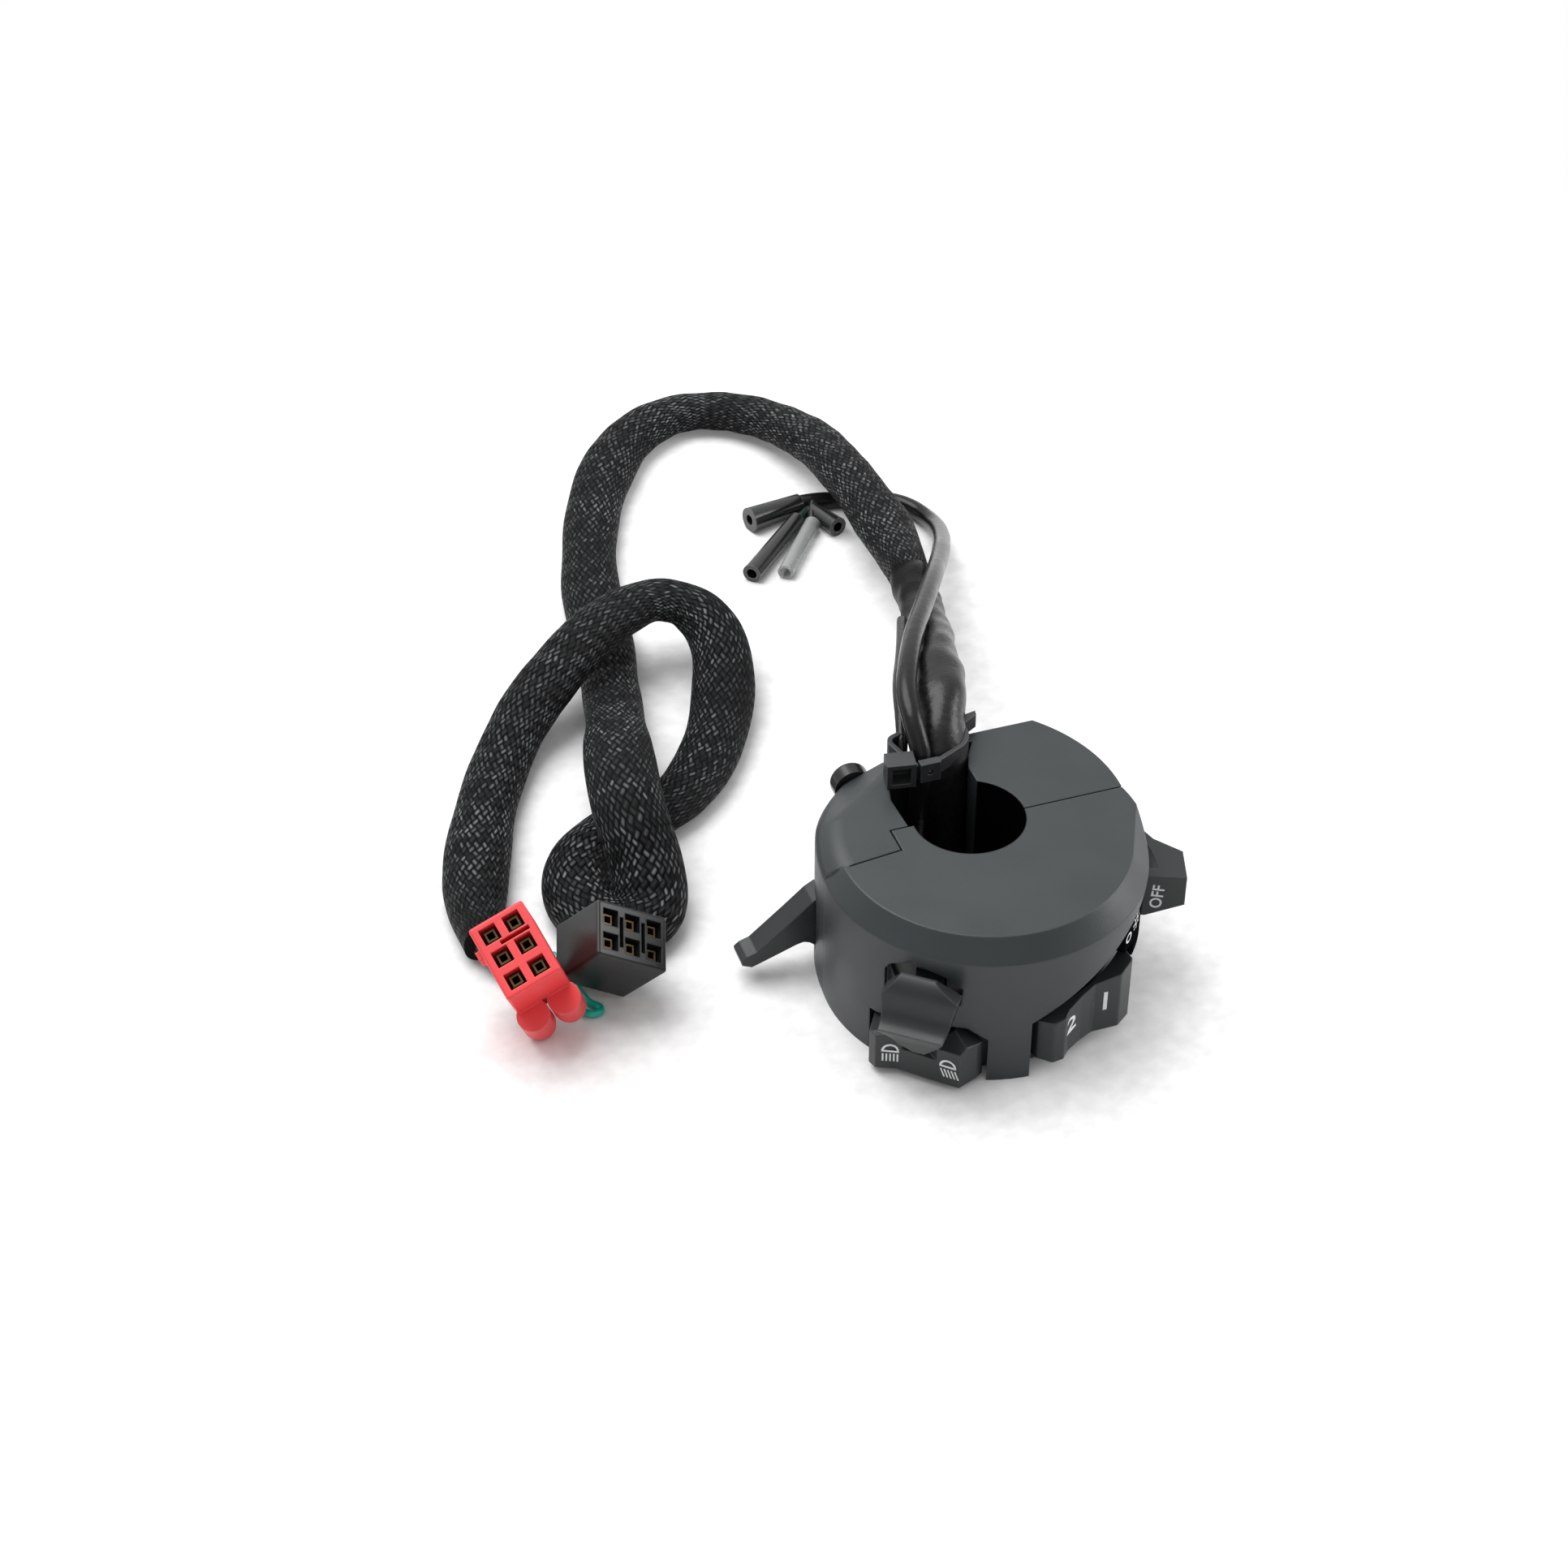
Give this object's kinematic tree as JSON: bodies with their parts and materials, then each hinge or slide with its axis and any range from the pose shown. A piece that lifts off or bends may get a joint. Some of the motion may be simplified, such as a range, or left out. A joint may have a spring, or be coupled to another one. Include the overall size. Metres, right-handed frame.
{
  "type": "handlebar switch cluster",
  "caption": "Handlebar switch cluster in two moulded halves with turn, beam, mode and light controls, a finger trigger and a sleeved wiring harness.",
  "frame": {"origin": "centre of the bar bore at the end face that it rests on", "axes": "+Z along the bar, +Y towards the flat back where the harness leaves, -Y towards the thumb controls, -X towards the finger trigger"},
  "size_m": [0.1482, 0.2518, 0.0473],
  "materials": {
    "case_plastic": "fine moulded grain, black",
    "control_plastic": "smooth satin, black",
    "band_plastic": "glossy black with white marks",
    "inner_plastic": "plain phenolic board",
    "screw_steel": "black zinc",
    "plain_steel": "bright",
    "tie_plastic": "black nylon",
    "tape": "wound black tape",
    "braid": "black woven sleeve",
    "lead_vinyl": "glossy vinyl tube",
    "wire_vinyl": "coloured wires",
    "red_nylon": "red nylon",
    "black_nylon": "black nylon",
    "terminal_brass": "tinned brass",
    "boot_vinyl": "soft vinyl boots",
    "clear_vinyl": "cloudy clear sleeve"
  },
  "bodies": {
    "case": {"rear_case": "case_plastic", "front_case": "case_plastic", "case_screws": "screw_steel", "trigger_pin": "plain_steel", "trigger_switch": "inner_plastic", "trigger_spring": "plain_steel", "turn_base": "inner_plastic", "turn_detent_ball": "plain_steel", "turn_detent_spring": "plain_steel", "beam_pin": "plain_steel", "beam_switch": "inner_plastic", "mode_pin": "plain_steel", "mode_switch": "inner_plastic", "light_band": "band_plastic", "light_base": "inner_plastic", "light_detent_ball": "plain_steel", "light_detent_spring": "plain_steel", "cable_tie": "tie_plastic", "taped_trunk": "tape", "braided_sleeve": "braid", "lead_tube": "lead_vinyl", "side_strand": "wire_vinyl", "red_connector": "red_nylon", "red_terminals": "terminal_brass", "red_wires": "wire_vinyl", "black_connector": "black_nylon", "black_terminals": "terminal_brass", "black_wires": "wire_vinyl", "lead_boot": "boot_vinyl", "long_boot": "boot_vinyl", "clear_sleeve": "clear_vinyl", "short_boot": "boot_vinyl", "boot_stubs": "wire_vinyl"},
    "trigger": {"trigger_lever": "control_plastic"},
    "turn_slide_body": {"turn_carrier": "control_plastic", "cancel_spring": "plain_steel"},
    "paddle": {"turn_paddle": "control_plastic"},
    "beam": {"beam_rocker": "control_plastic"},
    "mode": {"mode_rocker": "control_plastic"},
    "light": {"light_lever": "control_plastic"}
  },
  "joints": [
    {"name": "trigger_pull", "type": "hinge", "parent": "case", "child": "trigger", "pos_m": [-0.0263, 0.0066, 0.014], "axis": [0, -1, 0], "range_deg": [0, 7], "stiffness_Nm_per_rad": 0.05, "springref_deg": -11.46, "deforming": ["trigger_spring"]},
    {"name": "turn_select", "type": "slide", "parent": "case", "child": "turn_slide_body", "axis": [0, 0, 1], "range_m": [-0.0015, 0.0015]},
    {"name": "turn_cancel", "type": "slide", "parent": "turn_slide_body", "child": "paddle", "axis": [0.6293, 0.7771, 0], "range_m": [0, 0.0015], "stiffness_N_per_m": 300, "springref_m": -0.002, "deforming": ["cancel_spring"]},
    {"name": "beam_rock", "type": "hinge", "parent": "case", "child": "beam", "pos_m": [-0.01706, -0.02685, 0.01], "axis": [0, 0, 1], "range_deg": [-6, 6]},
    {"name": "mode_rock", "type": "hinge", "parent": "case", "child": "mode", "pos_m": [0.0081, -0.03186, 0.01], "axis": [0, 0, 1], "range_deg": [-6, 6]},
    {"name": "light_turn", "type": "hinge", "parent": "case", "child": "light", "pos_m": [0.0005, -0.007, 0.01], "axis": [0, 0, -1], "range_deg": [0, 18]}
  ]
}
